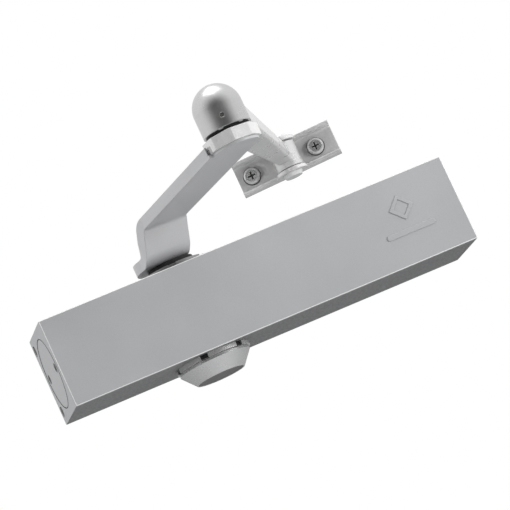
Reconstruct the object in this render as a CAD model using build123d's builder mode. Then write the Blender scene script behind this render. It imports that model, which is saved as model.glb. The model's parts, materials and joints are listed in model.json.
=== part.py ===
from build123d import *
import math
import os

os.makedirs("parts", exist_ok=True)

# Overhead door closer with a rack-and-pinion body, a cranked main arm, a ball-jointed forearm and a
# pivoting bracket. Frame: origin in the middle of the back mounting face, +X along the body to its
# right end as seen from the front, +Y into the door, +Z up, so that the pinion axis is vertical.

# ---- driving dimensions, mm ----
BODY_L, BODY_D, BODY_H = 230.0, 48.0, 47.5
COVER_T = 1.3
BORE_R = 15.0
AXIS_Y = -24.0
PINION_X = -35.0
FIT = 0.05

PLUG_R, PLUG_T = 19.0, 14.0
PLUG_PIN_R, PLUG_PIN_PITCH = 2.6, 28.0

VALVE_Y, VALVE_Z = -4.5, 17.3
VALVE_R, VALVE_L = 2.95, 22.0
VALVE_BORE_R, VALVE_BORE_L = 3.0, 24.0

BOLT_X, BOLT_Z = 85.0, 18.9
BOLT_R, BOLT_HEAD_R, BOLT_HEAD_DEPTH = 2.6, 4.4, 5.0
COVER_PEG_X, COVER_PEG_R, COVER_PEG_L = 105.0, 1.5, 3.0

SWING = math.radians(165.0)
PITCH_R, TEETH = 8.0, 10
TOOTH_MODULE = 2 * PITCH_R / TEETH
PRESSURE = math.radians(20.0)
PINION_TIP_R, PINION_ROOT_R = 9.3, 6.8
RACK_ADDENDUM, RACK_DEDENDUM = 0.9, 1.6
BACKLASH = 0.25
STROKE = PITCH_R * SWING

PISTON_R = BORE_R - FIT
PISTON_WALL = 11.5
WINDOW_CLEAR = 0.7

JOURNAL_R = 7.0
NUT_THREAD_R, NUT_BORE_R = 14.0, 10.0
NUT_IN_Z = 16.6
TOP_RING_R, TOP_RING_T = 19.0, 2.5
COLLAR_R, COLLAR_T = 20.4, 2.3
UPPER_NOTCH_START, LOWER_NOTCH_START = 20.0, -114.0

SPRING_WIRE_R, SPRING_MEAN_R, SPRING_PITCH = 2.1, 10.8, 11.0
SPRING_SEAT_T = 3.0

CAP_RIM_R, CAP_FACE_R, CAP_RIM_T, CAP_H = 19.6, 13.4, 1.6, 8.9
CAP_DISC_R, CAP_DISC_T = 12.6, 1.2

# main arm, measured along its own direction from the pinion axis; the bar is a little left of that line
ELBOW = (-10.7, -151.3)
HUB_LONG_R, HUB_CROSS_R, HUB_SHIFT, HUB_FLOOR, HUB_TOP = 15.6, 13.6, -4.7, 29.8, 35.6
BAR_FLOOR, BAR_TOP = 46.7, 52.7
CRANK_START, CRANK_ANGLE, CRANK_T = 13.2, math.radians(62.0), 6.0
BEND_INNER_R, BEND_OUTER_R = 3.5, 9.0
CRANK_FOOT_LEFT, CRANK_FOOT_RIGHT, CRANK_TOP_LEFT = -17.6, 8.4, -15.0
BAR_HALF_START, BAR_HALF_END, BAR_SHIFT = 12.0, 13.3, -1.5
ARM_EYE_R, ARM_EYE_T = 12.6, 1.6
SPINDLE_SQUARE = 10.0

# elbow ball joint
STUD_FLATS, STUD_T, STUD_TURN = 27.0, 6.5, 22.5
STUD_CORNER_R = 14.3
NECK_R, BALL_R, LINER_R = 4.8, 7.5, 9.5
BALL_Z = 66.0
DOME_R, DOME_FOOT_Z, DOME_SHOULDER_Z = 12.5, 57.0, 68.7

# forearm and bracket
PIVOT = (44.7, -28.0)
PIVOT_Z = 58.0
FOREARM_HALF_START, FOREARM_HALF_END = 10.5, 4.6
FOREARM_TOP, FOREARM_FLOOR = (70.8, 62.0), (60.0, 54.0)
EYE_R, EYE_H = 7.4, 13.6
BUSH_R, PIN_R = 5.2, 4.0
BRACKET_YAW = -16.0
BRACKET_L, BRACKET_H, BRACKET_T = 56.0, 18.6, 1.8
WEB_BACK = 10.4
FLANGE_DEPTH, LUG_R = 8.0, 8.6
SCREW_PITCH, SCREW_SHIFT = 37.0, -1.7
SCREW_R, SCREW_NECK_R, SCREW_HEAD_R, SCREW_HEAD_H, SCREW_L = 2.4, 2.6, 4.5, 2.9, 16.0

arm_length = math.hypot(ELBOW[0] - PINION_X, ELBOW[1] - AXIS_Y)
arm_dir = Vector((ELBOW[0] - PINION_X) / arm_length, (ELBOW[1] - AXIS_Y) / arm_length, 0)
arm_plan = Plane(origin=(PINION_X, AXIS_Y, 0), x_dir=arm_dir, z_dir=(0, 0, 1))
arm_side = Plane(origin=(PINION_X, AXIS_Y, 0), x_dir=arm_dir, z_dir=(arm_dir.Y, -arm_dir.X, 0))

forearm_length = math.hypot(PIVOT[0] - ELBOW[0], PIVOT[1] - ELBOW[1])
forearm_dir = Vector((PIVOT[0] - ELBOW[0]) / forearm_length, (PIVOT[1] - ELBOW[1]) / forearm_length, 0)
forearm_plan = Plane(origin=(*ELBOW, 0), x_dir=forearm_dir, z_dir=(0, 0, 1))
forearm_side = Plane(origin=(*ELBOW, 0), x_dir=forearm_dir, z_dir=(forearm_dir.Y, -forearm_dir.X, 0))

yaw = math.radians(BRACKET_YAW)
bracket_plan = Plane(origin=(*PIVOT, 0), x_dir=(math.cos(yaw), math.sin(yaw), 0), z_dir=(0, 0, 1))
bracket_back = Vector(-math.sin(yaw), math.cos(yaw), 0)


def save(builder, name):
    """Label a finished piece and write it to its own file."""
    builder.part.label = name
    export_step(builder.part, f"parts/{name}.step")


def pinion_plane(z):
    return Plane(origin=(PINION_X, AXIS_Y, z))


def end_plane(side, inset=0.0):
    """Plane in an end face, its normal pointing outwards; side is -1 for the left end, 1 for the right."""
    return Plane(origin=(side * (BODY_L / 2 - inset), AXIS_Y, 0), x_dir=(0, side, 0), z_dir=(side, 0, 0))


def valve_plane(top, inset=0.0):
    return Plane(origin=(-BODY_L / 2 + inset, VALVE_Y, top * VALVE_Z), x_dir=(0, -1, 0), z_dir=(-1, 0, 0))


# ---- housing ----
with BuildPart() as housing:
    with Locations((0, -(BODY_D - COVER_T) / 2, 0)):
        Box(BODY_L, BODY_D - COVER_T, BODY_H)
    chamfer(housing.edges().filter_by(Axis.X), 0.5)
    with Locations(end_plane(1)):
        Hole(BORE_R)
    for side in (-1, 1):
        with Locations(end_plane(side)):
            Hole(PLUG_R + FIT, depth=PLUG_T)
    for top in (-1, 1):
        with BuildSketch(pinion_plane(0)):
            Circle(NUT_THREAD_R + FIT)
        extrude(amount=top * BODY_H / 2, mode=Mode.SUBTRACT)
        with Locations(valve_plane(top)):
            Hole(VALVE_BORE_R, depth=VALVE_BORE_L)
        # oil ways from each valve bore into the cylinder
        port_dir = Vector(0, AXIS_Y - VALVE_Y, -top * VALVE_Z).normalized()
        port = Plane(origin=(-BODY_L / 2 + VALVE_BORE_L - 4, VALVE_Y, top * VALVE_Z), z_dir=port_dir)
        with BuildSketch(port):
            Circle(1.2)
        extrude(amount=14, mode=Mode.SUBTRACT)
    # bolt holes from front to back, with room for the screw heads behind the cover
    bolt_plane = Plane(origin=(0, -(BODY_D - COVER_T), 0), x_dir=(1, 0, 0), z_dir=(0, -1, 0))
    with Locations(bolt_plane):
        with GridLocations(2 * BOLT_X, 2 * BOLT_Z, 2, 2):
            CounterBoreHole(BOLT_R, BOLT_HEAD_R, BOLT_HEAD_DEPTH)
        with GridLocations(2 * COVER_PEG_X, 1, 2, 1):
            Hole(COVER_PEG_R + FIT, depth=COVER_PEG_L + 0.5)
save(housing, "housing")

# ---- front cover: plain plate with two pegs ----
with BuildPart() as front_cover:
    with Locations((0, -BODY_D + COVER_T / 2, 0)):
        Box(BODY_L, COVER_T, BODY_H)
    chamfer(front_cover.edges().group_by(Axis.Y)[0], 0.35)
    with BuildSketch(Plane(origin=(0, -BODY_D + COVER_T, 0), x_dir=(1, 0, 0), z_dir=(0, 1, 0))):
        with GridLocations(2 * COVER_PEG_X, 1, 2, 1):
            Circle(COVER_PEG_R)
    extrude(amount=COVER_PEG_L)
save(front_cover, "front_cover")

# ---- end plugs, each with a seal groove and two blind spanner holes ----
PLUG_NECK_R, PLUG_NECK_L, GROOVE_W, GROOVE_DEPTH = BORE_R - FIT, 9.0, 2.8, 1.9
for side, end_name in ((-1, "left"), (1, "right")):
    with BuildPart() as plug:
        with BuildSketch(end_plane(side)):
            Circle(PLUG_R)
        extrude(amount=-PLUG_T)
        chamfer(plug.edges().filter_by(GeomType.CIRCLE), 0.4)
        with BuildSketch(end_plane(side, PLUG_T)):
            Circle(PLUG_NECK_R)
        extrude(amount=-PLUG_NECK_L)
        with BuildSketch(end_plane(side, PLUG_T + 3)):
            Circle(PLUG_NECK_R + 1)
            Circle(PLUG_NECK_R - GROOVE_DEPTH, mode=Mode.SUBTRACT)
        extrude(amount=-GROOVE_W, mode=Mode.SUBTRACT)
        with Locations(end_plane(side)):
            with GridLocations(PLUG_PIN_PITCH, 1, 2, 1):
                Hole(PLUG_PIN_R, depth=6)
    save(plug, f"{end_name}_end_plug")

    with BuildPart() as plug_seal:
        with BuildSketch(end_plane(side, PLUG_T + 3 + 0.3)):
            Circle(PLUG_NECK_R)
            Circle(PLUG_NECK_R - GROOVE_DEPTH + 0.1, mode=Mode.SUBTRACT)
        extrude(amount=-(GROOVE_W - 0.6))
        chamfer(plug_seal.edges(), 0.5)
    save(plug_seal, f"{end_name}_plug_seal")

# ---- bearing nuts, bearings and shaft seals, above and below ----
for top, place in ((1, "upper"), (-1, "lower")):
    if top > 0:
        ring_r, ring_t, notch_start = TOP_RING_R, TOP_RING_T, UPPER_NOTCH_START
    else:
        ring_r, ring_t, notch_start = COLLAR_R, COLLAR_T, LOWER_NOTCH_START
    with BuildPart() as nut:
        with BuildSketch(pinion_plane(top * NUT_IN_Z)):
            Circle(NUT_THREAD_R)
        extrude(amount=top * (BODY_H / 2 - NUT_IN_Z))
        with BuildSketch(pinion_plane(top * BODY_H / 2)):
            Circle(ring_r)
            # spanner notches round the rim
            with PolarLocations(ring_r, 6, start_angle=notch_start):
                Rectangle(3.2, 4.4, mode=Mode.SUBTRACT)
        extrude(amount=top * ring_t)
        with Locations(pinion_plane(0)):
            Hole(NUT_BORE_R)
    save(nut, f"{place}_bearing_nut")

    with BuildPart() as bearing:
        with BuildSketch(pinion_plane(top * NUT_IN_Z)):
            Circle(NUT_BORE_R - 0.02)
            Circle(JOURNAL_R + FIT, mode=Mode.SUBTRACT)
        extrude(amount=top * 5)
    save(bearing, f"{place}_bearing")

    with BuildPart() as shaft_seal:
        with BuildSketch(pinion_plane(top * (NUT_IN_Z + 5.4))):
            Circle(NUT_BORE_R - 0.05)
            Circle(JOURNAL_R + 0.08, mode=Mode.SUBTRACT)
        extrude(amount=top * 2.0)
        chamfer(shaft_seal.edges().group_by(Axis.Z)[-1 if top > 0 else 0], 0.4)
    save(shaft_seal, f"{place}_shaft_seal")

# ---- pinion cap: a conical cup with a spigot that enters the lower bearing nut ----
cap_top = -BODY_H / 2 - COLLAR_T
cap_plane = Plane(origin=(PINION_X, AXIS_Y, 0), x_dir=(1, 0, 0), z_dir=(0, -1, 0))
with BuildPart() as pinion_cap:
    with BuildSketch(cap_plane):
        with BuildLine():
            Polyline(
                (NUT_BORE_R - 0.1, cap_top + 1.3),
                (NUT_BORE_R - 0.1, cap_top),
                (CAP_RIM_R - 0.5, cap_top),
                (CAP_RIM_R, cap_top - 0.5),
                (CAP_RIM_R, cap_top - CAP_RIM_T),
                (CAP_FACE_R, cap_top - CAP_H),
                (CAP_DISC_R + 0.1, cap_top - CAP_H),
                (CAP_DISC_R + 0.1, cap_top - CAP_H + CAP_DISC_T + 0.3),
                (7.0, cap_top - CAP_H + CAP_DISC_T + 0.3),
                (7.0, cap_top - CAP_H + CAP_DISC_T + 2.0),
                (NUT_BORE_R - 1.7, cap_top - CAP_H + CAP_DISC_T + 2.0),
                (NUT_BORE_R - 1.7, cap_top + 1.3),
                close=True,
            )
        make_face()
    revolve(axis=Axis((PINION_X, AXIS_Y, 0), (0, 0, 1)))
save(pinion_cap, "pinion_cap")

with BuildPart() as cap_disc:
    with BuildSketch(pinion_plane(cap_top - CAP_H + 0.3)):
        Circle(CAP_DISC_R)
    extrude(amount=CAP_DISC_T)
    chamfer(cap_disc.edges().group_by(Axis.Z)[0], 0.3)
save(cap_disc, "cap_disc")

# ---- regulating valves: slotted screws with a seal and a metering tip ----
for top, valve_name in ((1, "sweep"), (-1, "latch")):
    with BuildPart() as valve:
        with BuildSketch(valve_plane(top, 0.8)):
            Circle(VALVE_R)
        extrude(amount=-(VALVE_L - 8))
        chamfer(valve.edges().group_by(Axis.X)[0], 0.3)
        with BuildSketch(valve_plane(top, 0.8 + VALVE_L - 8)):
            Circle(1.6)
        extrude(amount=-6, taper=7)
        with BuildSketch(valve_plane(top, 8)):
            Circle(VALVE_R + 1)
            Circle(1.9, mode=Mode.SUBTRACT)
        extrude(amount=-2.2, mode=Mode.SUBTRACT)
        with BuildSketch(valve_plane(top, 0.8)):
            Rectangle(2 * VALVE_R + 1, 0.9)
        extrude(amount=-1.6, mode=Mode.SUBTRACT)
    save(valve, f"{valve_name}_valve")

    with BuildPart() as valve_seal:
        with BuildSketch(valve_plane(top, 8.2)):
            Circle(VALVE_R)
            Circle(2.0, mode=Mode.SUBTRACT)
        extrude(amount=-1.8)
        chamfer(valve_seal.edges(), 0.3)
    save(valve_seal, f"{valve_name}_valve_seal")

# ---- piston: two discs joined by two rails, the back rail carrying the rack ----
window_left = PINION_X - STROKE - PINION_TIP_R - WINDOW_CLEAR
window_right = PINION_X + PINION_TIP_R + WINDOW_CLEAR
piston_left = window_left - PISTON_WALL
piston_right = window_right + PISTON_WALL
rack_pitch = math.pi * TOOTH_MODULE
rack_root_y = PITCH_R + RACK_DEDENDUM


def rack_tooth_space(x):
    """Outline of one space of the rack, x and y from the pinion axis."""
    half_mid = rack_pitch / 4 + BACKLASH / 4
    slope = math.tan(PRESSURE)
    y_tip, y_root = PITCH_R - RACK_ADDENDUM - 0.5, rack_root_y
    wide, narrow = half_mid + (PITCH_R - y_tip) * slope, half_mid - (y_root - PITCH_R) * slope
    return ((x - wide, y_tip), (x + wide, y_tip), (x + narrow, y_root), (x - narrow, y_root))


with BuildPart() as piston:
    with BuildSketch(Plane(origin=(piston_left, AXIS_Y, 0), x_dir=(0, 1, 0), z_dir=(1, 0, 0))):
        Circle(PISTON_R)
    extrude(amount=piston_right - piston_left)
    chamfer(piston.edges().filter_by(GeomType.CIRCLE), 0.5)
    window_len = window_right - window_left
    with BuildSketch(pinion_plane(-BORE_R - 1)):
        front_y, back_y = -PINION_TIP_R - 0.5, PITCH_R - RACK_ADDENDUM
        with Locations(((window_left + window_right) / 2 - PINION_X, (front_y + back_y) / 2)):
            Rectangle(window_len, back_y - front_y)
        spaces = math.ceil((STROKE + PINION_TIP_R) / rack_pitch) - 1
        for i in range(-spaces, 2):
            with BuildLine():
                Polyline(*rack_tooth_space(i * rack_pitch), close=True)
            make_face()
    extrude(amount=2 * BORE_R + 2, mode=Mode.SUBTRACT)
    # pocket that takes the end of the closing spring
    spring_pocket = Plane(origin=(piston_right, AXIS_Y, 0), x_dir=(0, 1, 0), z_dir=(1, 0, 0))
    with Locations(spring_pocket):
        Hole(SPRING_MEAN_R + SPRING_WIRE_R + 0.5, depth=4)
    # seal groove near the left end and the check valve's seat
    with BuildSketch(Plane(origin=(piston_left + 3, AXIS_Y, 0), x_dir=(0, 1, 0), z_dir=(1, 0, 0))):
        Circle(PISTON_R + 1)
        Circle(PISTON_R - 1.8, mode=Mode.SUBTRACT)
    extrude(amount=2.6, mode=Mode.SUBTRACT)
    with Locations(Plane(origin=(piston_left, AXIS_Y, 0), x_dir=(0, 1, 0), z_dir=(-1, 0, 0))):
        CounterBoreHole(1.5, 4.0, 7.0, depth=PISTON_WALL + 1)
save(piston, "piston")

with BuildPart() as piston_seal:
    with BuildSketch(Plane(origin=(piston_left + 3.3, AXIS_Y, 0), x_dir=(0, 1, 0), z_dir=(1, 0, 0))):
        Circle(PISTON_R)
        Circle(PISTON_R - 1.7, mode=Mode.SUBTRACT)
    extrude(amount=2.0)
save(piston_seal, "piston_seal")

with BuildPart() as check_valve_body:
    with BuildSketch(Plane(origin=(piston_left + 0.3, AXIS_Y, 0), x_dir=(0, 1, 0), z_dir=(1, 0, 0))):
        Circle(3.95)
        Circle(1.3, mode=Mode.SUBTRACT)
    extrude(amount=6.6)
    with BuildSketch(Plane(origin=(piston_left + 3.0, AXIS_Y, 0), x_dir=(0, 1, 0), z_dir=(1, 0, 0))):
        Circle(2.1)
    extrude(amount=3.9, mode=Mode.SUBTRACT)
save(check_valve_body, "check_valve_body")

with BuildPart() as check_valve_ball:
    with Locations((piston_left + 5.0, AXIS_Y, 0)):
        Sphere(1.7)
save(check_valve_ball, "check_valve_ball")

# ---- closing spring and its seat against the right plug ----
seat_x = BODY_L / 2 - PLUG_T - PLUG_NECK_L
with BuildPart() as spring_seat:
    with BuildSketch(Plane(origin=(seat_x, AXIS_Y, 0), x_dir=(0, 1, 0), z_dir=(-1, 0, 0))):
        Circle(BORE_R - 0.3)
    extrude(amount=SPRING_SEAT_T)
    with BuildSketch(Plane(origin=(seat_x - SPRING_SEAT_T, AXIS_Y, 0), x_dir=(0, 1, 0), z_dir=(-1, 0, 0))):
        Circle(SPRING_MEAN_R - SPRING_WIRE_R - 0.4)
    extrude(amount=4)
    chamfer(spring_seat.edges().group_by(Axis.X)[0], 0.8)
save(spring_seat, "spring_seat")

spring_start = piston_right - 4 + SPRING_WIRE_R + 0.1
spring_end = seat_x - SPRING_SEAT_T - SPRING_WIRE_R - 0.1
spring_len = spring_end - spring_start
turns = round(spring_len / SPRING_PITCH)
with BuildPart() as closing_spring:
    with BuildLine() as coil:
        start = (spring_start, AXIS_Y, 0)
        Helix(spring_len / turns, spring_len, SPRING_MEAN_R, center=start, direction=(1, 0, 0))
    with BuildSketch(Plane(origin=coil.line @ 0, z_dir=coil.line % 0)):
        Circle(SPRING_WIRE_R)
    sweep(path=coil.line, is_frenet=True)
save(closing_spring, "closing_spring")


# ---- pinion shaft: journals, ten involute teeth, square spindle on top ----
def involute_tooth():
    """One pinion tooth pointing along +Y, as a closed outline about the pinion axis."""
    base_r = PITCH_R * math.cos(PRESSURE)
    inv = math.tan(PRESSURE) - PRESSURE
    half_at_pitch = (math.pi * TOOTH_MODULE / 2 - BACKLASH) / 2 / PITCH_R
    flank = [(half_at_pitch + inv, PINION_ROOT_R - 0.6)]
    for i in range(6):
        r = base_r + (PINION_TIP_R - base_r) * i / 5
        a = math.acos(base_r / r)
        flank.append((half_at_pitch + inv - (math.tan(a) - a), r))
    right = [(r * math.sin(a), r * math.cos(a)) for a, r in flank]
    return right, [(-x, y) for x, y in reversed(right)]


with BuildSketch() as tooth:
    with BuildLine():
        tooth_right, tooth_left = involute_tooth()
        Polyline(*tooth_right, *tooth_left, close=True)
    make_face()

with BuildPart() as pinion_shaft:
    with BuildSketch(pinion_plane(-BODY_H / 2 - 0.5)):
        Circle(JOURNAL_R)
    extrude(amount=BODY_H + 1 + TOP_RING_T)
    with BuildSketch(pinion_plane(-13.5)):
        Circle(PINION_ROOT_R)
        with PolarLocations(0, TEETH):
            add(tooth.sketch)
    extrude(amount=27)
    spindle_foot = BODY_H / 2 + TOP_RING_T + 0.5
    with BuildSketch(Plane(origin=(PINION_X, AXIS_Y, spindle_foot), x_dir=arm_dir, z_dir=(0, 0, 1))):
        Rectangle(SPINDLE_SQUARE, SPINDLE_SQUARE)
    extrude(amount=HUB_TOP - 0.4 - spindle_foot)
    with Locations(pinion_plane(HUB_TOP - 0.4)):
        Hole(3.05, depth=15)
save(pinion_shaft, "pinion_shaft")


# ---- main arm: hub, crank, bar, and a thin eye that carries the ball stud ----
def crank_edge(low, high, start):
    """Corners of one edge of the arm's side profile, from behind the hub to past the elbow."""
    run = (high - low) / math.tan(CRANK_ANGLE)
    return (-40, low), (start, low), (start + run, high), (arm_length + 40, high)


with BuildPart() as main_arm:
    with BuildSketch(arm_side):
        with BuildLine():
            slant = (CRANK_T / math.cos(CRANK_ANGLE) - (HUB_TOP - HUB_FLOOR)) / math.tan(CRANK_ANGLE)
            low_line = FilletPolyline(*crank_edge(HUB_FLOOR, BAR_FLOOR, CRANK_START),
                                      radius=[BEND_OUTER_R, BEND_INNER_R])
            top_line = FilletPolyline(*crank_edge(HUB_TOP, BAR_TOP, CRANK_START - slant),
                                      radius=[BEND_INNER_R, BEND_OUTER_R])
            Line(top_line @ 0, low_line @ 0)
            Line(top_line @ 1, low_line @ 1)
        make_face()
    extrude(amount=40, both=True)
    with BuildSketch(arm_plan):
        with Locations((0, HUB_SHIFT)):
            Ellipse(HUB_LONG_R, HUB_CROSS_R)
        with Locations((arm_length, 0)):
            Circle(ARM_EYE_R)
        with BuildLine():
            crank_end = CRANK_START + 10
            Polyline((3, CRANK_FOOT_LEFT), (CRANK_START, CRANK_FOOT_LEFT), (crank_end, CRANK_TOP_LEFT),
                     (arm_length, BAR_SHIFT - BAR_HALF_END), (arm_length, BAR_SHIFT + BAR_HALF_END),
                     (crank_end, BAR_SHIFT + BAR_HALF_START), (CRANK_START, CRANK_FOOT_RIGHT),
                     (3, CRANK_FOOT_RIGHT), close=True)
        make_face()
    extrude(amount=80, mode=Mode.INTERSECT)
    # spot face that seats the ball stud's collar against the end of the bar
    with BuildSketch(arm_plan.offset(BAR_FLOOR + ARM_EYE_T)):
        with Locations((arm_length, 0)):
            Circle(STUD_CORNER_R + 0.5)
        with Locations((arm_length + 15, 0)):
            Rectangle(30, 60)
    extrude(amount=30, mode=Mode.SUBTRACT)
    with BuildSketch(Plane(origin=(PINION_X, AXIS_Y, 0), x_dir=arm_dir, z_dir=(0, 0, 1))):
        Rectangle(SPINDLE_SQUARE + 0.2, SPINDLE_SQUARE + 0.2)
    extrude(amount=HUB_TOP + 5, mode=Mode.SUBTRACT)
    chamfer(main_arm.edges().filter_by(lambda e: e.length > 60 and e.center().X > PINION_X + 15), 0.6)
    # shallow blind hole for the ball stud's foot
    with BuildSketch(Plane(origin=(*ELBOW, BAR_FLOOR + ARM_EYE_T))):
        Circle(6.0)
    extrude(amount=-1.1, mode=Mode.SUBTRACT)
save(main_arm, "main_arm")

with BuildPart() as arm_washer:
    with BuildSketch(pinion_plane(HUB_TOP)):
        Circle(8.0)
        Circle(3.2, mode=Mode.SUBTRACT)
    extrude(amount=1.4)
    chamfer(arm_washer.edges().group_by(Axis.Z)[-1], 0.3)
save(arm_washer, "arm_washer")

with BuildPart() as arm_screw:
    with BuildSketch(pinion_plane(HUB_TOP + 1.4)):
        RegularPolygon(5.0, 6, major_radius=False)
    extrude(amount=4)
    chamfer(arm_screw.edges().group_by(Axis.Z)[-1], 0.5)
    with BuildSketch(pinion_plane(HUB_TOP + 1.4)):
        Circle(3.0)
    extrude(amount=-14)
save(arm_screw, "arm_screw")

# ---- elbow: ball stud, liner, socket and retaining ring ----
stud_foot = BAR_FLOOR + ARM_EYE_T
elbow_plane = Plane(origin=(*ELBOW, 0), x_dir=arm_dir, z_dir=(0, 0, 1))
with BuildPart() as ball_stud:
    with BuildSketch(elbow_plane.offset(stud_foot)):
        RegularPolygon(STUD_FLATS / 2, 8, major_radius=False, rotation=STUD_TURN)
    extrude(amount=STUD_T)
    with BuildSketch(elbow_plane.offset(stud_foot)):
        Circle(STUD_CORNER_R)
    extrude(amount=STUD_T, mode=Mode.INTERSECT)
    with BuildSketch(elbow_plane.offset(stud_foot)):
        Circle(5.95)
    extrude(amount=-1.0)
    with BuildSketch(elbow_plane.offset(stud_foot + STUD_T)):
        Circle(NECK_R)
    extrude(amount=BALL_Z - stud_foot - STUD_T)
    with Locations((*ELBOW, BALL_Z)):
        Sphere(BALL_R)
save(ball_stud, "ball_stud")

LINER_CUT = 4.5
with BuildPart() as ball_liner:
    with Locations((*ELBOW, BALL_Z)):
        Sphere(LINER_R)
        Sphere(BALL_R + FIT, mode=Mode.SUBTRACT)
    with BuildSketch(elbow_plane.offset(BALL_Z - LINER_CUT)):
        Circle(LINER_R + 1)
    extrude(amount=-LINER_R, mode=Mode.SUBTRACT)
save(ball_liner, "ball_liner")

elbow_section = Plane(origin=(*ELBOW, 0), x_dir=(1, 0, 0), z_dir=(0, -1, 0))
elbow_axis = Axis((*ELBOW, 0), (0, 0, 1))
RING_SEAT_Z, RING_R = 60.2, 11.2
with BuildPart() as forearm:
    # tapered bar falling gently from the socket to the eye
    with BuildSketch(forearm_side):
        with BuildLine():
            Polyline((2, FOREARM_TOP[0]), (forearm_length, FOREARM_TOP[1]),
                     (forearm_length, FOREARM_FLOOR[1]), (2, FOREARM_FLOOR[0]), close=True)
        make_face()
    extrude(amount=30, both=True)
    with BuildSketch(forearm_plan):
        with BuildLine():
            Polyline((2, FOREARM_HALF_START), (2, -FOREARM_HALF_START), (forearm_length, -FOREARM_HALF_END),
                     (forearm_length, FOREARM_HALF_END), close=True)
        make_face()
    extrude(amount=120, mode=Mode.INTERSECT)
    fillet(forearm.edges().filter_by(lambda e: e.length > 100), 2.0)
    # eye
    with BuildSketch(Plane(origin=(*PIVOT, PIVOT_Z - EYE_H / 2))):
        Circle(EYE_R)
    extrude(amount=EYE_H)
    # domed socket
    with BuildSketch(elbow_section):
        with BuildLine():
            Polyline((0, DOME_SHOULDER_Z + DOME_R), (0, DOME_FOOT_Z), (DOME_R, DOME_FOOT_Z),
                     (DOME_R, DOME_SHOULDER_Z))
            CenterArc((0, DOME_SHOULDER_Z), DOME_R, 0, 90)
        make_face()
    revolve(axis=elbow_axis)
    with Locations((*ELBOW, BALL_Z)):
        Sphere(LINER_R + FIT, mode=Mode.SUBTRACT)
    with BuildSketch(elbow_plane.offset(DOME_FOOT_Z)):
        Circle(LINER_R + FIT)
    extrude(amount=BALL_Z - DOME_FOOT_Z, mode=Mode.SUBTRACT)
    with BuildSketch(elbow_plane.offset(DOME_FOOT_Z)):
        Circle(RING_R)
    extrude(amount=RING_SEAT_Z - DOME_FOOT_Z, mode=Mode.SUBTRACT)
    # small grease hole in the front of the dome
    grease_dir = Vector(-0.2, -0.98, 0)
    with BuildSketch(Plane(origin=(*ELBOW, DOME_FOOT_Z + 5.6), z_dir=grease_dir)):
        Circle(1.1)
    extrude(amount=DOME_R + 2, mode=Mode.SUBTRACT)
    with BuildSketch(Plane(origin=(*PIVOT, 0))):
        Circle(BUSH_R + 0.02)
    extrude(amount=100, mode=Mode.SUBTRACT)
save(forearm, "forearm")

with BuildPart() as elbow_ring:
    with BuildSketch(elbow_plane.offset(DOME_FOOT_Z - 0.5)):
        Circle(RING_R - 0.03)
        Circle(6.8, mode=Mode.SUBTRACT)
    extrude(amount=RING_SEAT_Z - 0.2 - DOME_FOOT_Z + 0.5)
save(elbow_ring, "elbow_ring")

with BuildPart() as pivot_bush:
    with BuildSketch(Plane(origin=(*PIVOT, PIVOT_Z - EYE_H / 2))):
        Circle(BUSH_R)
        Circle(PIN_R + FIT, mode=Mode.SUBTRACT)
    extrude(amount=EYE_H)
save(pivot_bush, "pivot_bush")

# ---- bracket: a shallow channel with rounded lugs round the pivot ----
half_h = BRACKET_H / 2
with BuildPart() as bracket:
    with BuildSketch(bracket_plan.offset(PIVOT_Z - half_h)):
        with Locations((0, WEB_BACK - FLANGE_DEPTH / 2)):
            Rectangle(BRACKET_L, FLANGE_DEPTH)
        Circle(LUG_R)
        with Locations((0, (WEB_BACK - FLANGE_DEPTH) / 2)):
            Rectangle(2 * LUG_R, WEB_BACK - FLANGE_DEPTH)
    extrude(amount=BRACKET_H)
    inner = Plane(origin=bracket_plan.origin, x_dir=bracket_plan.x_dir, z_dir=(0, 0, 1))
    with BuildSketch(inner.offset(PIVOT_Z - half_h + BRACKET_T)):
        with Locations((0, WEB_BACK - BRACKET_T - 15)):
            Rectangle(BRACKET_L + 2, 30)
    extrude(amount=BRACKET_H - 2 * BRACKET_T, mode=Mode.SUBTRACT)
    fillet(bracket.edges().filter_by(lambda e: e.length > BRACKET_L - 1).sort_by(
        lambda e: -e.center().dot(bracket_back))[0:2], BRACKET_T * 0.8)
    with BuildSketch(bracket_plan):
        Circle(PIN_R + 0.02)
    extrude(amount=100, mode=Mode.SUBTRACT)
    web_out = Plane(origin=Vector(*PIVOT, PIVOT_Z) + bracket_back * WEB_BACK, x_dir=bracket_plan.x_dir,
                    z_dir=bracket_back)
    with Locations(web_out):
        with Locations((SCREW_SHIFT, 0)), GridLocations(SCREW_PITCH, 1, 2, 1):
            Hole(SCREW_NECK_R + 0.3, depth=BRACKET_T + 1)
save(bracket, "bracket")

with BuildPart() as pivot_pin:
    with BuildSketch(Plane(origin=(*PIVOT, PIVOT_Z - half_h))):
        Circle(PIN_R)
    extrude(amount=BRACKET_H)
    with BuildSketch(Plane(origin=(*PIVOT, PIVOT_Z + half_h))):
        Circle(6.0)
    extrude(amount=2.0)
    with BuildSketch(Plane(origin=(*PIVOT, PIVOT_Z - half_h))):
        Circle(5.8)
    extrude(amount=-2.2, taper=30)
    fillet(pivot_pin.edges().group_by(Axis.Z)[-1], 1.2)
save(pivot_pin, "pivot_pin")

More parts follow.
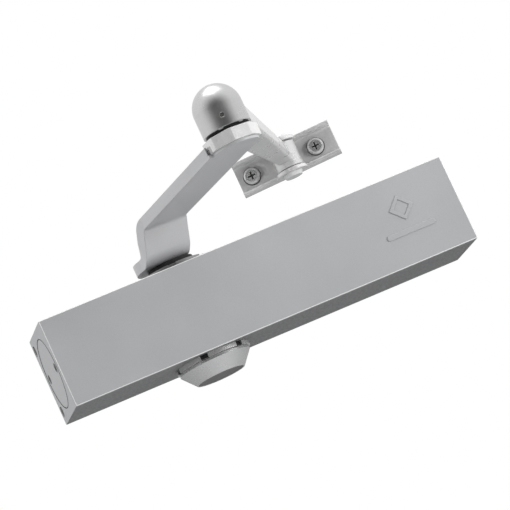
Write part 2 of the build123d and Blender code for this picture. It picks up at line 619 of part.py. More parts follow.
web_face = Plane(origin=Vector(*PIVOT, PIVOT_Z) + bracket_back * (WEB_BACK - BRACKET_T),
                 x_dir=bracket_plan.x_dir, z_dir=-bracket_back)
with BuildPart() as bracket_screws:
    with BuildSketch(web_face):
        with Locations((SCREW_SHIFT, 0)), GridLocations(SCREW_PITCH, 1, 2, 1):
            Circle(SCREW_HEAD_R)
    extrude(amount=SCREW_HEAD_H)
    fillet(bracket_screws.edges().filter_by(GeomType.CIRCLE).sort_by(
        lambda e: e.center().dot(bracket_back))[0:2], 1.6)
    with BuildSketch(web_face.offset(SCREW_HEAD_H)):
        with Locations((SCREW_SHIFT, 0)), GridLocations(SCREW_PITCH, 1, 2, 1):
            Rectangle(4.6, 1.0)
            Rectangle(1.0, 4.6)
    extrude(amount=-1.9, taper=12, mode=Mode.SUBTRACT)
    with BuildSketch(web_face):
        with Locations((SCREW_SHIFT, 0)), GridLocations(SCREW_PITCH, 1, 2, 1):
            Circle(SCREW_NECK_R)
    extrude(amount=-BRACKET_T - 0.15)
    with BuildSketch(web_face):
        with Locations((SCREW_SHIFT, 0)), GridLocations(SCREW_PITCH, 1, 2, 1):
            Circle(SCREW_R)
    extrude(amount=-SCREW_L)
    chamfer(bracket_screws.edges().filter_by(GeomType.CIRCLE).sort_by(
        lambda e: -e.center().dot(bracket_back))[0:2], 0.8)
save(bracket_screws, "bracket_screws")
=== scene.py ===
import json
import math

import bmesh
import bpy
from mathutils import Matrix, Vector


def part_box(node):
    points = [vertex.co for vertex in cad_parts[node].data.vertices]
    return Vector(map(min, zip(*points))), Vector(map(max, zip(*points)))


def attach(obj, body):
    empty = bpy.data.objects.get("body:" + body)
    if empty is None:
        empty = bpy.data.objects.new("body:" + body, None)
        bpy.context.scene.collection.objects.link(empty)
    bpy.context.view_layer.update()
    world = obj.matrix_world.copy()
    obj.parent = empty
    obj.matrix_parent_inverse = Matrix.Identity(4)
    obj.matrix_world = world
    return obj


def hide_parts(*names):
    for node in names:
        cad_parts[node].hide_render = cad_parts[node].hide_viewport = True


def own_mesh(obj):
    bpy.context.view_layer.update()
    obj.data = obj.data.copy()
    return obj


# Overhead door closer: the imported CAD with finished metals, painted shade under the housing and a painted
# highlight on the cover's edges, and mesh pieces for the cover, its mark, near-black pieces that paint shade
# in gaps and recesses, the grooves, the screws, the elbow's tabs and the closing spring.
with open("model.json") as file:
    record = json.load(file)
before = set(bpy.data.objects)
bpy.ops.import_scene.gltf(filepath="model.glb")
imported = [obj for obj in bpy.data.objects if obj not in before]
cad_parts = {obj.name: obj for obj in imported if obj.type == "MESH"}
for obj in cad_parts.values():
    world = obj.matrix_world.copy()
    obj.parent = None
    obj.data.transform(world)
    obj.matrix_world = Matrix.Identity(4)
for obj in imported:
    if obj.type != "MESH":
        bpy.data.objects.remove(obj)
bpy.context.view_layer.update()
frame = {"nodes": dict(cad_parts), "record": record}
MM = 0.001

SLOT_OF = {part["node"]: part["material_slot"] for part in frame["record"]["subparts"]}
JOINTS = {joint["name"]: joint for joint in frame["record"]["behaviour"]["joints"]}
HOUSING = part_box("housing")
PINION = Vector(JOINTS["arm_swing"]["pos_m"])
PLUG_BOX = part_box("left_end_plug")
PLUG_AXIS = (Vector(PLUG_BOX[0]) + Vector(PLUG_BOX[1])) / 2


# ---- materials ----
GRAIN_H, WAVE_H, LATHE_PITCH = 0.05 * MM, 0.6 * MM, 0.45 * MM
LATHE_SHARE = 0.35
FINE_SHARE = 0.45
LEAST_ROUGH = 0.03
# the painted underside shade runs between these tones of its colour
UNDERSIDE_SHADE_TONES = (0.62, 1.42)
RUBBED_COLOUR = (0.9, 0.9, 0.9, 1.0)
PLATING_METALLIC, PLATING_FADE = 0.96, 1 * MM


def node(tree, kind, x, y, **values):
    """A shader node at that place, with its settings and unlinked inputs given by name."""
    made = tree.nodes.new(kind)
    made.location = (x, y)
    for key, value in values.items():
        if hasattr(made, key):
            setattr(made, key, value)
        else:
            made.inputs[key.replace("_", " ")].default_value = value
    return made


def ramp(tree, source, stops, x, y):
    """A colour ramp over source; stops are (place, grey or colour)."""
    made = node(tree, "ShaderNodeValToRGB", x, y)
    while len(made.color_ramp.elements) < len(stops):
        made.color_ramp.elements.new(0.5)
    for element, (place, colour) in zip(made.color_ramp.elements, stops):
        element.position = place
        element.color = (*colour, 1.0) if isinstance(colour, tuple) else (colour, colour, colour, 1.0)
    tree.links.new(source, made.inputs["Fac"])
    return made.outputs["Color"]


def axis_distance(tree, place, point, keep, y):
    """Distance from an axis through point; keep has 0 along the axis and 1 across it."""
    offset = node(tree, "ShaderNodeVectorMath", -1250, y, operation="SUBTRACT")
    offset.inputs[1].default_value = point
    tree.links.new(place, offset.inputs[0])
    across = node(tree, "ShaderNodeVectorMath", -1100, y, operation="MULTIPLY")
    across.inputs[1].default_value = keep
    tree.links.new(offset.outputs[0], across.inputs[0])
    length = node(tree, "ShaderNodeVectorMath", -950, y, operation="LENGTH")
    tree.links.new(across.outputs[0], length.inputs[0])
    return length.outputs["Value"]


def purer_plating(tree, place, plated, metallic):
    """Metallic value that is nearly pure within plated's radius of its upright axis."""
    point, radius = plated
    purity = node(tree, "ShaderNodeMapRange", -750, 1050)
    purity.inputs["From Min"].default_value = radius
    purity.inputs["From Max"].default_value = radius + PLATING_FADE
    purity.inputs["To Min"].default_value = PLATING_METALLIC
    purity.inputs["To Max"].default_value = metallic
    tree.links.new(axis_distance(tree, place, point, (1, 1, 0), 1050), purity.inputs["Value"])
    return purity.outputs["Result"]


def wavy_normal(tree, place, normal, wobble):
    """The normal of a plated surface that isn't quite flat."""
    waves = node(tree, "ShaderNodeTexNoise", -900, -600, Scale=210.0, Detail=2.0, Distortion=1.2)
    tree.links.new(place, waves.inputs["Vector"])
    ripple = node(tree, "ShaderNodeBump", -400, -500, Strength=wobble, Distance=WAVE_H)
    tree.links.new(waves.outputs["Fac"], ripple.inputs["Height"])
    tree.links.new(normal, ripple.inputs["Normal"])
    return ripple.outputs["Normal"]


def lathe_marks(tree, place, turned, grain):
    """Height of fine rings round the turned axis, on top of the grain."""
    point, axis = turned
    groove = node(tree, "ShaderNodeMath", -800, -350, operation="MULTIPLY")
    groove.inputs[1].default_value = 2 * math.pi / LATHE_PITCH
    keep = (0, 1, 1) if axis == "X" else (1, 1, 0)
    tree.links.new(axis_distance(tree, place, point, keep, -350), groove.inputs[0])
    wave = node(tree, "ShaderNodeMath", -650, -350, operation="SINE")
    tree.links.new(groove.outputs[0], wave.inputs[0])
    mix = node(tree, "ShaderNodeMath", -500, -250, operation="MULTIPLY_ADD")
    mix.inputs[1].default_value = LATHE_SHARE
    tree.links.new(wave.outputs[0], mix.inputs[0])
    tree.links.new(grain, mix.inputs[2])
    return mix.outputs[0]


def painted_underside_shade(tree, place, tint, underside_shade):
    """The tint, darkened to a coarse-grained painted shade on faces that look down."""
    facing = node(tree, "ShaderNodeSeparateXYZ", -1250, 650)
    tree.links.new(node(tree, "ShaderNodeNewGeometry", -1450, 650).outputs["True Normal"], facing.inputs[0])
    downward = node(tree, "ShaderNodeMath", -1100, 650, operation="MULTIPLY")
    downward.inputs[1].default_value = -1.0
    tree.links.new(facing.outputs["Z"], downward.inputs[0])
    share = ramp(tree, downward.outputs[0], [(0.72, 0.0), (0.92, 1.0)], -900, 650)
    coarse = node(tree, "ShaderNodeTexNoise", -1100, 850, Scale=750.0, Detail=2.0, Roughness=0.7)
    tree.links.new(place, coarse.inputs["Vector"])
    dark, light = (tuple(c * tone for c in underside_shade) for tone in UNDERSIDE_SHADE_TONES)
    shaded_grain = ramp(tree, coarse.outputs["Fac"], [(0.32, dark), (0.68, light)], -700, 850)
    cover = node(tree, "ShaderNodeMix", -350, 600, data_type="RGBA")
    tree.links.new(share, cover.inputs["Factor"])
    tree.links.new(tint, cover.inputs["A"])
    tree.links.new(shaded_grain, cover.inputs["B"])
    return cover.outputs["Result"]


def rubbed_edges(tree, tint, wear):
    """The tint, a little brighter on edges."""
    sharp = node(tree, "ShaderNodeNewGeometry", -900, 450)
    worn = ramp(tree, sharp.outputs["Pointiness"], [(0.52, 0.0), (0.58, wear)], -700, 450)
    paint = node(tree, "ShaderNodeMix", -350, 300, data_type="RGBA")
    paint.inputs["B"].default_value = RUBBED_COLOUR
    tree.links.new(worn, paint.inputs["Factor"])
    tree.links.new(tint, paint.inputs["A"])
    return paint.outputs["Result"]


def finish_material(name, colour, metallic, rough, spread=0.06, tone=0.05, grain=1400.0, cloud=45.0,
                    bump=0.05, turned=None, edge=0.35, wear=0.0, underside_shade=None, wobble=0.0, plated=None):
    """A metal, paint or plastic with clouded tone, uneven gloss, fine grain and, where turned, lathe rings.

    turned is (axis point, axis letter) of the lathe marks. edge is the softened edge in mm.
    wear is how much edges shine, and wobble how much the surface waves, which breaks up its reflections.
    The darker, coarser underside colour is painted shade on the faces that look down.
    plated is (axis point, radius) of an upright round part whose plating is purer metal than the rest.
    """
    mat = bpy.data.materials.new(name)
    mat.use_nodes = True
    tree = mat.node_tree
    shader = tree.nodes["Principled BSDF"]
    shader.inputs["Metallic"].default_value = metallic
    place = node(tree, "ShaderNodeTexCoord", -1400, 0).outputs["Object"]
    link = tree.links.new

    fine = node(tree, "ShaderNodeTexNoise", -1100, 200, Scale=grain, Detail=3.0, Roughness=0.6)
    broad = node(tree, "ShaderNodeTexNoise", -1100, -80, Scale=cloud, Detail=5.0, Roughness=0.55)
    for noise in (fine, broad):
        link(place, noise.inputs["Vector"])
    half = node(tree, "ShaderNodeMath", -1000, -60, operation="MULTIPLY")
    half.inputs[1].default_value = 1 - FINE_SHARE
    link(broad.outputs["Fac"], half.inputs[0])
    blend = node(tree, "ShaderNodeMath", -900, 100, operation="MULTIPLY_ADD")
    blend.inputs[1].default_value = FINE_SHARE
    link(fine.outputs["Fac"], blend.inputs[0])
    link(half.outputs[0], blend.inputs[2])
    low = tuple(c * (1 - tone) for c in colour)
    high = tuple(min(1.0, c * (1 + tone)) for c in colour)
    tint = ramp(tree, blend.outputs[0], [(0.36, low), (0.64, high)], -700, 200)

    gloss = node(tree, "ShaderNodeMapRange", -700, -150)
    gloss.inputs["From Min"].default_value, gloss.inputs["From Max"].default_value = 0.3, 0.7
    gloss.inputs["To Min"].default_value = max(LEAST_ROUGH, rough - spread)
    gloss.inputs["To Max"].default_value = rough + spread
    link(broad.outputs["Fac"], gloss.inputs["Value"])
    link(gloss.outputs["Result"], shader.inputs["Roughness"])

    soft = node(tree, "ShaderNodeBevel", -500, -400, samples=4)
    soft.inputs["Radius"].default_value = edge * MM
    normal = soft.outputs["Normal"]
    if wobble:
        normal = wavy_normal(tree, place, normal, wobble)
    relief = node(tree, "ShaderNodeBump", -300, -300, Strength=bump, Distance=GRAIN_H)
    link(normal, relief.inputs["Normal"])
    height = fine.outputs["Fac"]
    if turned:
        height = lathe_marks(tree, place, turned, height)
    link(height, relief.inputs["Height"])
    link(relief.outputs["Normal"], shader.inputs["Normal"])

    if plated:
        link(purer_plating(tree, place, plated, metallic), shader.inputs["Metallic"])
    # painted shade: faces that look down are darkened, with coarse grain
    if underside_shade:
        tint = painted_underside_shade(tree, place, tint, underside_shade)
    if wear:
        tint = rubbed_edges(tree, tint, wear)
    link(tint, shader.inputs["Base Color"])
    return mat


ELBOW = Vector(JOINTS["elbow_swivel"]["pos_m"])
PLATED_R = 13.2 * MM  # the dome and a little round it
TURNED_Z = (tuple(PINION), "Z")
TURNED_X = (tuple(PLUG_AXIS), "X")
FINISHES = {
    "body_silver": dict(colour=(0.515, 0.523, 0.535), metallic=0.3, rough=0.46, tone=0.05, grain=1900,
                        cloud=14, bump=0.14, edge=0.45),
    "plug_metal": dict(colour=(0.53, 0.535, 0.545), metallic=0.5, rough=0.38, turned=TURNED_X, bump=0.12),
    "bright_ring": dict(colour=(0.74, 0.74, 0.74), metallic=0.7, rough=0.28, turned=TURNED_Z, bump=0.08),
    "cap_satin": dict(colour=(0.70, 0.705, 0.71), metallic=0.8, rough=0.27, turned=TURNED_Z, bump=0.12),
    "cap_dark": dict(colour=(0.12, 0.12, 0.125), metallic=0.3, rough=0.42, turned=TURNED_Z, bump=0.10),
    "arm_satin": dict(colour=(0.55, 0.555, 0.57), metallic=0.42, rough=0.36, tone=0.06, grain=1500,
                      bump=0.12, edge=0.6, wear=0.25),
    "arm_nickel": dict(colour=(0.78, 0.78, 0.78), metallic=0.5, rough=0.29, tone=0.05, grain=1200,
                       bump=0.06, edge=0.6, plated=(tuple(ELBOW), PLATED_R)),
    "zinc": dict(colour=(0.87, 0.87, 0.87), metallic=0.45, rough=0.16, spread=0.07, tone=0.08,
                 cloud=160, bump=0.08, wobble=0.22, edge=0.5),
    "steel": dict(colour=(0.80, 0.80, 0.80), metallic=0.75, rough=0.22, cloud=220, bump=0.05, edge=0.3),
    "bronze": dict(colour=(0.42, 0.39, 0.33), metallic=0.9, rough=0.34, cloud=200, bump=0.06, edge=0.25),
    "nylon": dict(colour=(0.80, 0.79, 0.75), metallic=0.0, rough=0.45, tone=0.03, bump=0.04),
    # also the near-black of the pieces that paint shade in gaps, recesses and round the screw heads
    "seal_rubber": dict(colour=(0.018, 0.018, 0.018), metallic=0.0, rough=0.6, tone=0.25, grain=700,
                        bump=0.15),
    # the housing's faces that look down carry painted shade
    "housing_silver": dict(colour=(0.515, 0.523, 0.535), metallic=0.3, rough=0.46, tone=0.05,
                           grain=1900, cloud=14, bump=0.16, edge=0.45, underside_shade=(0.205, 0.209, 0.214)),
    "upper_steel": dict(colour=(0.40, 0.40, 0.40), metallic=0.8, rough=0.3, turned=TURNED_Z, bump=0.08),
    # a near-white painted highlight for the cover's rounded edges
    "edge_bright": dict(colour=(0.88, 0.88, 0.88), metallic=0.1, rough=0.3, tone=0.03, bump=0.04),
}
OWN_FINISH = {"housing": "housing_silver", "upper_bearing_nut": "upper_steel"}
MATERIALS = {name: finish_material(name, **values) for name, values in FINISHES.items()}

for name, cad in frame["nodes"].items():
    material = MATERIALS[OWN_FINISH.get(name, SLOT_OF[name])]
    if not cad.material_slots:
        cad.data.materials.append(material)
    for place in cad.material_slots:
        place.material = material


# ---- pieces ----
SHARP_ANGLE = math.radians(38)


def piece(name, mesh_maker, body, slot_name, replaced=(), bevel=0.0, segments=3):
    """A mesh piece made in the row frame by mesh_maker(bm), with its body, slot and softened edges."""
    bm = bmesh.new()
    mesh_maker(bm)
    bmesh.ops.recalc_face_normals(bm, faces=bm.faces)
    mesh = bpy.data.meshes.new(name)
    bm.to_mesh(mesh)
    bm.free()
    for face in mesh.polygons:
        face.use_smooth = True
    mesh.set_sharp_from_angle(angle=SHARP_ANGLE)
    made = bpy.data.objects.new(name, mesh)
    bpy.context.scene.collection.objects.link(made)
    mesh.materials.append(MATERIALS[slot_name])
    if bevel:
        soften = made.modifiers.new("edges", "BEVEL")
        soften.width, soften.segments, soften.limit_method = bevel, segments, "ANGLE"
        soften.angle_limit = SHARP_ANGLE
    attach(made, body)
    if replaced:
        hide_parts(*replaced)
    return made


def skin(bm, loops, closed=True):
    """Faces between neighbouring loops of vertices: a ring when closed, else a bar with flat ends."""
    around = len(loops[0])
    following = loops[1:] + loops[:1] if closed else loops[1:]
    for one, two in zip(loops, following):
        for k in range(around):
            m = (k + 1) % around
            bm.faces.new((one[k], two[k], two[m], one[m]))
    if not closed:
        bm.faces.new(reversed(loops[0]))
        bm.faces.new(loops[-1])


def prism(bm, outline, to_world, depth):
    """A closed plate: outline points (u, v), placed by to_world(u, v, w), from w 0 to depth."""
    low = [bm.verts.new(to_world(u, v, 0.0)) for u, v in outline]
    high = [bm.verts.new(to_world(u, v, depth)) for u, v in outline]
    bm.faces.new(low)
    bm.faces.new(reversed(high))
    for i, vert in enumerate(low):
        j = (i + 1) % len(low)
        bm.faces.new((vert, high[i], high[j], low[j]))


def rounded(cx, cz, half_x, half_z, radius, steps=6):
    """Outline of a rounded rectangle."""
    points = []
    for sx, sz, start in ((1, 1, 0), (-1, 1, 90), (-1, -1, 180), (1, -1, 270)):
        for i in range(steps + 1):
            a = math.radians(start + 90 * i / steps)
            points.append((cx + sx * (half_x - radius) + radius * math.cos(a),
                           cz + sz * (half_z - radius) + radius * math.sin(a)))
    return points


def band(bm, centre, z_low, z_high, inner, outer, steps=96):
    """A plain upright ring of rectangular section."""
    section = ((inner, z_low), (outer, z_low), (outer, z_high), (inner, z_high))
    turns = [2 * math.pi * i / steps for i in range(steps)]
    skin(bm, [[bm.verts.new((centre.x + r * math.cos(a), centre.y + r * math.sin(a), z)) for r, z in section]
              for a in turns])


def wire_ring(bm, centre, axis, side, radius, tube, steps=96, around=8):
    """A ring of round section about axis; side is any direction across it."""
    other = axis.cross(side)
    section = [2 * math.pi * k / around for k in range(around)]
    loops = []
    for i in range(steps):
        a = 2 * math.pi * i / steps
        out = side * math.cos(a) + other * math.sin(a)
        loops.append([bm.verts.new(centre + out * (radius + tube * math.cos(b)) + axis * (tube * math.sin(b)))
                      for b in section])
    skin(bm, loops)


# front cover: a thin plate with rounded edges, which carry a painted highlight
COVER_LOW, COVER_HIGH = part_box("front_cover")
COVER_T = HOUSING[0][1] - COVER_LOW[1]
COVER_CORNER_R = 0.6 * MM


def cover(bm):
    mid_x, mid_z = (COVER_LOW[0] + COVER_HIGH[0]) / 2, (COVER_LOW[2] + COVER_HIGH[2]) / 2
    half_x, half_z = (COVER_HIGH[0] - COVER_LOW[0]) / 2, (COVER_HIGH[2] - COVER_LOW[2]) / 2
    outline = rounded(mid_x, mid_z, half_x, half_z, COVER_CORNER_R, 3)
    prism(bm, outline, lambda u, v, w: (u, COVER_LOW[1] + w, v), COVER_T)


panel = piece("cover_panel", cover, "closer_body", "body_silver", ["front_cover"], bevel=0.4 * MM)
# the rounded edges carry a painted highlight line
panel.data.materials.append(MATERIALS["edge_bright"])
panel.modifiers["edges"].material = 1


# generic raised mark near the cover's right end: a lozenge frame over a plain bar
MARK_H = 0.45 * MM
MARK_X, MARK_Z = COVER_HIGH[0] - 31 * MM, 6.5 * MM
LOZENGE_OUTER, LOZENGE_INNER = 7 * MM, 4.6 * MM
BAR_DROP, BAR_HALF_L, BAR_HALF_H, BAR_CORNER_R = 13 * MM, 14 * MM, 1.5 * MM, 1.4 * MM


def mark(bm):
    front = COVER_LOW[1]
    bar = rounded(MARK_X, MARK_Z - BAR_DROP, BAR_HALF_L, BAR_HALF_H, BAR_CORNER_R)
    prism(bm, bar, lambda u, v, w: (u, front - w, v), MARK_H)
    section = ((LOZENGE_INNER, front), (LOZENGE_OUTER, front),
               (LOZENGE_OUTER, front - MARK_H), (LOZENGE_INNER, front - MARK_H))
    corners = [math.radians(90 * i) for i in range(4)]
    skin(bm, [[bm.verts.new((MARK_X + r * math.cos(a), y, MARK_Z + r * math.sin(a))) for r, y in section]
              for a in corners])


piece("cover_mark", mark, "closer_body", "body_silver", bevel=0.16 * MM, segments=2)


# painted shade: a near-black band seen through the lower ring's spanner notches, and a near-black ring in the
# gap between the upper ring and the arm
LOWER_RING, UPPER_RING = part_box("lower_bearing_nut"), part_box("upper_bearing_nut")
ARM_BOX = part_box("main_arm")
LOWER_R = (LOWER_RING[1][0] - LOWER_RING[0][0]) / 2
NOTCH_SHADE_INNER, NOTCH_SHADE_OUTER, NOTCH_SHADE_LIFT = LOWER_R - 3 * MM, LOWER_R - 1.25 * MM, 0.25 * MM
GAP_SHADE_INNER, GAP_SHADE_OUTER, GAP_SHADE_CLEARANCE = 7.6 * MM, 12.5 * MM, 0.3 * MM


def notch_shade(bm):
    band(bm, PINION, LOWER_RING[0][2] + NOTCH_SHADE_LIFT, HOUSING[0][2], NOTCH_SHADE_INNER, NOTCH_SHADE_OUTER)


def gap_shade(bm):
    band(bm, PINION, UPPER_RING[1][2], ARM_BOX[0][2] - GAP_SHADE_CLEARANCE, GAP_SHADE_INNER, GAP_SHADE_OUTER)


# both rings are painted shade, in the near-black seal material
piece("notch_band", notch_shade, "closer_body", "seal_rubber", bevel=0.1 * MM, segments=1)
piece("spindle_boot", gap_shade, "closer_body", "seal_rubber", bevel=0.6 * MM)


# fine groove round each end plug, where plug and housing meet
PLUG_R = (PLUG_BOX[1][2] - PLUG_BOX[0][2]) / 2
GROOVE_R = 0.16 * MM
for name, x in (("left_plug_groove", HOUSING[0][0]), ("right_plug_groove", HOUSING[1][0])):
    rim = Vector((x, PLUG_AXIS.y, PLUG_AXIS.z))
    piece(name, lambda bm: wire_ring(bm, rim, Vector((1, 0, 0)), Vector((0, 1, 0)), PLUG_R, GROOVE_R),
          "closer_body", "seal_rubber")


# painted shade: a dark cross at the bottom of each screw's recess, and a painted shadow line round each head
MOUNTS = {mount["name"]: mount for mount in frame["record"]["mounts"]}
SCREWS = ("bracket_screw_left", "bracket_screw_right")
HEAD_R, HEAD_H = 4.5 * MM, 2.9 * MM
RECESS_DEPTH, CROSS_T = 1.5 * MM, 0.25 * MM
CROSS_REACH, CROSS_HALF = 1.9 * MM, 0.46 * MM
RIM_GAP, RIM_R = 0.1 * MM, 0.3 * MM
WEB_T, SHANK_GAP = 1.8 * MM, 0.15 * MM
WEB_FRONT = MOUNTS[SCREWS[0]]["dims"]["length_mm"] * MM / 2 + SHANK_GAP + WEB_T


def screw_frame(name):
    """Middle of a screw's shank, its axis into the door frame, and two directions across it."""
    mount = MOUNTS[name]
    axis = Vector(mount["axis"]).normalized()
    side = axis.cross(Vector((0, 0, 1))).normalized()
    return Vector(mount["pos_m"]), axis, side, axis.cross(side)


def recess_shade_crosses(bm):
    wide, narrow = CROSS_REACH, CROSS_HALF
    outline = [(narrow, narrow), (narrow, wide), (-narrow, wide), (-narrow, narrow), (-wide, narrow),
               (-wide, -narrow), (-narrow, -narrow), (-narrow, -wide), (narrow, -wide), (narrow, -narrow),
               (wide, -narrow), (wide, narrow)]
    for name in SCREWS:
        middle, axis, side, up = screw_frame(name)
        floor_at = middle - axis * (WEB_FRONT + HEAD_H - RECESS_DEPTH)
        prism(bm, outline, lambda u, v, w: floor_at + side * u + up * v - axis * w, CROSS_T)


# painted shade in the screws' cross recesses
piece("screw_recess", recess_shade_crosses, "bracket", "seal_rubber")
for name in SCREWS:
    middle, axis, side, up = screw_frame(name)
    head_foot = middle - axis * (WEB_FRONT + RIM_GAP)
    piece(name.replace("bracket_", "") + "_rim",
          lambda bm: wire_ring(bm, head_foot, axis, side, HEAD_R + RIM_GAP, RIM_R), "bracket", "seal_rubber")


# screw threads behind the bracket: a helical ridge on each shank
THREAD_PITCH, THREAD_H, THREAD_HALF_W = 0.95 * MM, 0.42 * MM, 0.36 * MM
THREAD_ROOT, THREAD_RUNOUT = 0.08 * MM, 1.2 * MM
THREAD_STEPS = 24


def threads(bm):
    for name in SCREWS:
        middle, axis, side, up = screw_frame(name)
        dims = MOUNTS[name]["dims"]
        core, length = dims["r_mm"] * MM, dims["length_mm"] * MM - THREAD_RUNOUT
        start = middle - axis * (length / 2)
        steps = int(length / THREAD_PITCH * THREAD_STEPS)
        loops = []
        for i in range(steps + 1):
            a = 2 * math.pi * i / THREAD_STEPS
            out = side * math.cos(a) + up * math.sin(a)
            along = start + axis * (length * i / steps)
            grow = min(1.0, i / THREAD_STEPS, (steps - i) / THREAD_STEPS) * THREAD_H
            root, crest = along + out * (core - THREAD_ROOT), along + out * (core + grow)
            corners = (root - axis * THREAD_HALF_W, crest, root + axis * THREAD_HALF_W)
            loops.append([bm.verts.new(corner) for corner in corners])
        skin(bm, loops, closed=False)


piece("screw_threads", threads, "bracket", "steel")


# two small staking tabs where the retaining ring meets the dome
RING_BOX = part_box("elbow_ring")
RING_MID = (Vector(RING_BOX[0]) + Vector(RING_BOX[1])) / 2
RING_RADIUS = (RING_BOX[1][0] - RING_BOX[0][0]) / 2
TAB_TURNS = (-118, -62)
TAB_HALF_W, TAB_HALF_H, TAB_CORNER_R, TAB_REACH = 1.5 * MM, 0.9 * MM, 0.7 * MM, 1.9 * MM
TAB_INSET, TAB_LIFT = 1.4 * MM, 0.1 * MM


def tabs(bm):
    outline = rounded(0, TAB_HALF_H, TAB_HALF_W, TAB_HALF_H, TAB_CORNER_R, 4)
    for turn in TAB_TURNS:
        out = Vector((math.cos(math.radians(turn)), math.sin(math.radians(turn)), 0))
        side = Vector((-out.y, out.x, 0))
        base = Vector((RING_MID.x, RING_MID.y, RING_BOX[0][2] + TAB_LIFT)) + out * (RING_RADIUS - TAB_INSET)
        prism(bm, outline, lambda u, v, w: base + side * u + out * w + Vector((0, 0, v)), TAB_REACH)


piece("elbow_tabs", tabs, "forearm", "arm_nickel", bevel=0.25 * MM, segments=2)


# closing spring: a coil of wire in place of the CAD spring
SPRING_LOW, SPRING_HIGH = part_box("closing_spring")
SPRING_R = (SPRING_HIGH[2] - SPRING_LOW[2]) / 2
WIRE_R, SPRING_PITCH = 2.1 * MM, 11 * MM
WIRE_SIDES, STEPS_PER_TURN = 12, 36


def coil(bm):
    mean = SPRING_R - WIRE_R
    start, end = SPRING_LOW[0] + WIRE_R, SPRING_HIGH[0] - WIRE_R
    steps = round((end - start) / SPRING_PITCH) * STEPS_PER_TURN
    centre_y, centre_z = (SPRING_LOW[1] + SPRING_HIGH[1]) / 2, (SPRING_LOW[2] + SPRING_HIGH[2]) / 2
    section = [2 * math.pi * k / WIRE_SIDES for k in range(WIRE_SIDES)]
    loops = []
    for i in range(steps + 1):
        a = 2 * math.pi * i / STEPS_PER_TURN
        out = Vector((0, math.cos(a), math.sin(a)))
        middle = Vector((start + (end - start) * i / steps, centre_y, centre_z)) + out * mean
        loops.append([bm.verts.new(middle + WIRE_R * (out * math.cos(b) + Vector((math.sin(b), 0, 0))))
                      for b in section])
    skin(bm, loops, closed=False)


spring = piece("closing_coil", coil, "closer_body", "steel", ["closing_spring"])
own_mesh(spring)


# ---- floor, light and camera ----
FLOOR_HALF, FLOOR_Z = 12.0, -1.5


def floor():
    mesh = bpy.data.meshes.new("floor")
    corners = [(x * FLOOR_HALF, y * FLOOR_HALF, FLOOR_Z) for x, y in ((-1, -1), (1, -1), (1, 1), (-1, 1))]
    mesh.from_pydata(corners, [], [(0, 1, 2, 3)])
    made = bpy.data.objects.new("floor", mesh)
    bpy.context.scene.collection.objects.link(made)
    mat = bpy.data.materials.new("floor")
    mat.use_nodes = True
    tree = mat.node_tree
    shader = tree.nodes["Principled BSDF"]
    shader.inputs["Roughness"].default_value = 0.8
    noise = node(tree, "ShaderNodeTexNoise", -700, 0, Scale=3.0, Detail=2.0)
    tree.links.new(node(tree, "ShaderNodeTexCoord", -900, 0).outputs["Object"], noise.inputs["Vector"])
    tint = ramp(tree, noise.outputs["Fac"], [(0.3, 0.55), (0.7, 0.58)], -500, 0)
    tree.links.new(tint, shader.inputs["Base Color"])
    mesh.materials.append(mat)


floor()

# camera: turned to the right by its heading, tilted up, rolled, and set back from the middle of the object
scene = bpy.context.scene
HEADING, TILT, ROLL = math.radians(14.523), math.radians(9.3371), math.radians(-24.9055)
LOOKS_AT, DISTANCE = Vector((12.93, -6.70, 19.74)) * MM, 1706.43 * MM
LENS, SENSOR = 228.4, 36.0
CLIP = (0.05, 50.0)

FORWARD = Vector((math.sin(HEADING) * math.cos(TILT), math.cos(HEADING) * math.cos(TILT), math.sin(TILT)))
level = Vector((math.cos(HEADING), -math.sin(HEADING), 0))
upright = level.cross(FORWARD)
RIGHT = level * math.cos(ROLL) + upright * math.sin(ROLL)
UP = upright * math.cos(ROLL) - level * math.sin(ROLL)

camera_data = bpy.data.cameras.new("camera")
camera_data.lens, camera_data.sensor_width = LENS, SENSOR
camera_data.clip_start, camera_data.clip_end = CLIP
camera = bpy.data.objects.new("camera", camera_data)
scene.collection.objects.link(camera)
camera.matrix_world = (Matrix.Translation(LOOKS_AT - FORWARD * DISTANCE)
                       @ Matrix((RIGHT, UP, -FORWARD)).transposed().to_4x4())
scene.camera = camera


def area_light(name, at, towards, size, size_y, energy, glossy=True):
    data = bpy.data.lights.new(name, "AREA")
    data.shape, data.size, data.size_y, data.energy = "RECTANGLE", size, size_y, energy
    made = bpy.data.objects.new(name, data)
    scene.collection.objects.link(made)
    made.location = at
    made.visible_glossy = glossy
    made.rotation_euler = (Vector(towards) - Vector(at)).to_track_quat("-Z", "Y").to_euler()


AIM = (0.0, -0.06, 0.0)
# two lamps from the sides that no surface mirrors, and a soft one overhead
area_light("key", (1.25, -1.15, 0.02), AIM, 0.8, 0.9, 24.5, glossy=False)
area_light("side", (-1.5, -0.7, 0.25), AIM, 0.5, 1.1, 8.5, glossy=False)
area_light("top", (0.1, -0.2, 1.6), AIM, 1.2, 1.2, 6.0)

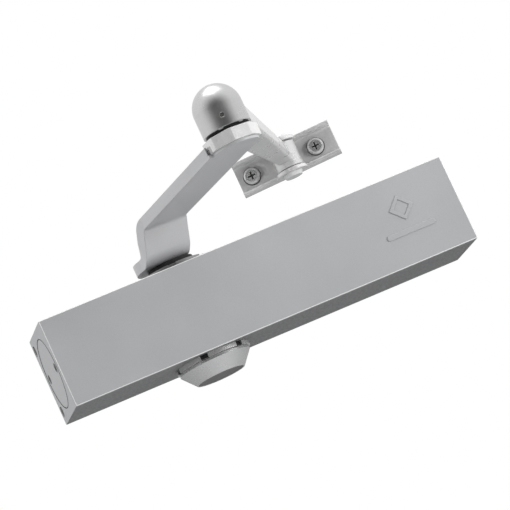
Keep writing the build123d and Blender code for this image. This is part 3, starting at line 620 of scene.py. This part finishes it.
# studio surround: bright behind and at the sides, dark on the camera's side and below; the backdrop is white
world = bpy.data.worlds.new("studio")
scene.world = world
world.use_nodes = True
tree = world.node_tree
tree.nodes.clear()
direction = node(tree, "ShaderNodeTexCoord", -1100, 0).outputs["Generated"]
across = node(tree, "ShaderNodeVectorMath", -900, 100, operation="DOT_PRODUCT")
across.inputs[1].default_value = FORWARD
height = node(tree, "ShaderNodeSeparateXYZ", -900, -150)
for target in (across.inputs[0], height.inputs[0]):
    tree.links.new(direction, target)
aside = node(tree, "ShaderNodeMapRange", -700, 100)
aside.inputs["From Min"].default_value, aside.inputs["From Max"].default_value = -1.0, 1.0
tree.links.new(across.outputs["Value"], aside.inputs["Value"])
lift = node(tree, "ShaderNodeMapRange", -700, -150)
lift.inputs["From Min"].default_value, lift.inputs["From Max"].default_value = -1.0, 1.0
tree.links.new(height.outputs["Z"], lift.inputs["Value"])
FRONT_TO_BACK = [(0.0, 0.03), (0.08, 0.08), (0.22, 0.65), (0.40, 1.0), (1.0, 1.0)]
LOW_TO_HIGH = [(0.0, 0.10), (0.44, 0.22), (0.56, 0.95), (1.0, 1.0)]
sides = ramp(tree, aside.outputs["Result"], FRONT_TO_BACK, -500, 100)
levels = ramp(tree, lift.outputs["Result"], LOW_TO_HIGH, -500, -150)
product = node(tree, "ShaderNodeMix", -250, 0, data_type="RGBA", blend_type="MULTIPLY")
product.inputs["Factor"].default_value = 1.0
tree.links.new(sides, product.inputs["A"])
tree.links.new(levels, product.inputs["B"])
surround = node(tree, "ShaderNodeBackground", 0, 0, Strength=0.75)
tree.links.new(product.outputs["Result"], surround.inputs["Color"])
backdrop = node(tree, "ShaderNodeBackground", 0, -200, Strength=1.0)
backdrop.inputs["Color"].default_value = (1, 1, 1, 1)
choice = node(tree, "ShaderNodeMixShader", 250, 0)
tree.links.new(node(tree, "ShaderNodeLightPath", 0, 300).outputs["Is Camera Ray"], choice.inputs["Fac"])
tree.links.new(surround.outputs[0], choice.inputs[1])
tree.links.new(backdrop.outputs[0], choice.inputs[2])
tree.links.new(choice.outputs[0], node(tree, "ShaderNodeOutputWorld", 500, 0).inputs["Surface"])

scene.view_settings.view_transform = "Standard"
